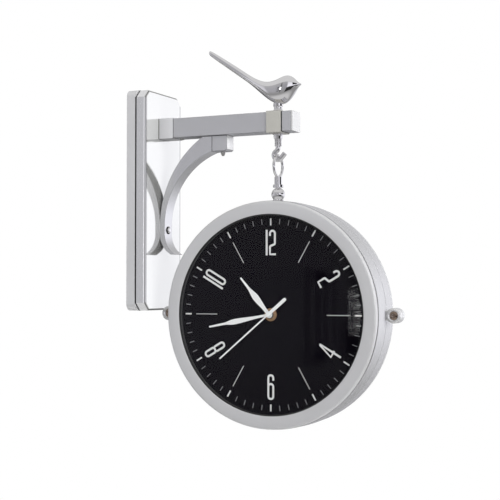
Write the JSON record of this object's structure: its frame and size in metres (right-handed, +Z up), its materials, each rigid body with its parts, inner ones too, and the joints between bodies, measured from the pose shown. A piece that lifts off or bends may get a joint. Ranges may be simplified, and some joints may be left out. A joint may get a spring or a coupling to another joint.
{
  "type": "double-sided wall clock",
  "caption": "Double-sided wall clock: a round silver case with domed glass and black dials hangs from a hook under a square bracket arm with a curved brace and a bird finial.",
  "frame": {"origin": "centre of the wall plate's back face", "axes": "+X along the arm away from the wall, +Z up, front dial faces -Y"},
  "size_m": [0.2839, 0.077, 0.3849],
  "materials": {
    "base_lacquer": "silver lacquer, satin",
    "plate_gloss": "polished, mirror-like",
    "arm_silver": "silver lacquer, satin",
    "case_silver": "silver lacquer, semi-gloss",
    "bezel_silver": "silver lacquer, fine satin",
    "chrome": "polished",
    "steel": "zinc plated",
    "glass": "clear, domed",
    "gasket": "matt",
    "spacer_black": "matt",
    "dial_black": "satin black",
    "hand_white": "white lacquer",
    "brass": "plain",
    "movement_black": "moulded, matt",
    "gear_white": "moulded",
    "cell": "printed sleeve, plain",
    "coil": "wound copper wire",
    "board": "plain board"
  },
  "bodies": {
    "bracket": {"wall_base": "base_lacquer", "wall_cover": "plate_gloss", "cover_screws": "steel", "arm_tube": "arm_silver", "root_block": "steel", "root_bolts": "steel", "root_collar": "arm_silver", "root_screw": "steel", "hanger_collar": "arm_silver", "arm_end_cap": "arm_silver", "brace": "arm_silver", "brace_end_block": "arm_silver", "brace_set_screw": "steel", "brace_foot_screw": "steel", "bird": "chrome", "bird_post": "chrome", "hanger_stud": "steel", "hook_ferrule": "chrome", "hook": "chrome"},
    "eye": {"eye_bolt": "chrome", "eye_washer": "steel", "eye_nut": "steel"},
    "clock": {"top_ball": "chrome", "case_front": "case_silver", "case_rear": "case_silver", "bezel_front": "bezel_silver", "bezel_rear": "bezel_silver", "glass_front": "glass", "glass_rear": "glass", "glass_gaskets": "gasket", "spacer_rings": "spacer_black", "dial_front": "dial_black", "dial_rear": "dial_black", "dial_nuts": "brass", "dial_washers": "brass", "lug_screws": "steel", "lug_nuts": "steel", "movement_housing_front": "movement_black", "movement_housing_rear": "movement_black", "movement_cover_front": "movement_black", "movement_cover_rear": "movement_black", "cells": "cell", "battery_contacts": "steel", "motor_coils": "coil", "circuit_boards": "board"},
    "minute_front": {"minute_hand_front": "hand_white", "minute_pinion_front": "gear_white"},
    "hour_front": {"hour_hand_front": "hand_white", "hour_wheel_front": "gear_white"},
    "second_front": {"second_hand_front": "hand_white", "second_arbor_front": "steel"},
    "setting_front": {"setting_wheel_front": "gear_white"},
    "minute_rear": {"minute_hand_rear": "hand_white", "minute_pinion_rear": "gear_white"},
    "hour_rear": {"hour_hand_rear": "hand_white", "hour_wheel_rear": "gear_white"},
    "second_rear": {"second_hand_rear": "hand_white", "second_arbor_rear": "steel"},
    "setting_rear": {"setting_wheel_rear": "gear_white"}
  },
  "joints": [
    {"name": "eye_swing", "type": "hinge", "parent": "bracket", "child": "eye", "pos_m": [0.154, 0, 0.03851], "axis": [1, 0, 0], "range_deg": [-38, 38]},
    {"name": "clock_swivel", "type": "hinge", "parent": "eye", "child": "clock", "pos_m": [0.154, 0, 0], "axis": [0, 0, 1], "continuous": true},
    {"name": "minute_turn_front", "type": "hinge", "parent": "clock", "child": "minute_front", "pos_m": [0.154, 0, -0.117], "axis": [0, 1, 0], "continuous": true},
    {"name": "hour_turn_front", "type": "hinge", "parent": "clock", "child": "hour_front", "pos_m": [0.154, 0, -0.117], "axis": [0, 1, 0], "continuous": true},
    {"name": "second_turn_front", "type": "hinge", "parent": "clock", "child": "second_front", "pos_m": [0.154, 0, -0.117], "axis": [0, 1, 0], "continuous": true},
    {"name": "setting_turn_front", "type": "hinge", "parent": "clock", "child": "setting_front", "pos_m": [0.154, 0, -0.105], "axis": [0, 1, 0], "continuous": true},
    {"name": "minute_turn_rear", "type": "hinge", "parent": "clock", "child": "minute_rear", "pos_m": [0.154, 0, -0.117], "axis": [0, -1, 0], "continuous": true},
    {"name": "hour_turn_rear", "type": "hinge", "parent": "clock", "child": "hour_rear", "pos_m": [0.154, 0, -0.117], "axis": [0, -1, 0], "continuous": true},
    {"name": "second_turn_rear", "type": "hinge", "parent": "clock", "child": "second_rear", "pos_m": [0.154, 0, -0.117], "axis": [0, -1, 0], "continuous": true},
    {"name": "setting_turn_rear", "type": "hinge", "parent": "clock", "child": "setting_rear", "pos_m": [0.154, 0, -0.105], "axis": [0, -1, 0], "continuous": true}
  ],
  "couplings": [
    {"joint": "hour_turn_front", "follows": "minute_turn_front", "ratio": 0.083333},
    {"joint": "setting_turn_front", "follows": "minute_turn_front", "ratio": -0.33333},
    {"joint": "hour_turn_rear", "follows": "minute_turn_rear", "ratio": 0.083333},
    {"joint": "setting_turn_rear", "follows": "minute_turn_rear", "ratio": -0.33333}
  ]
}
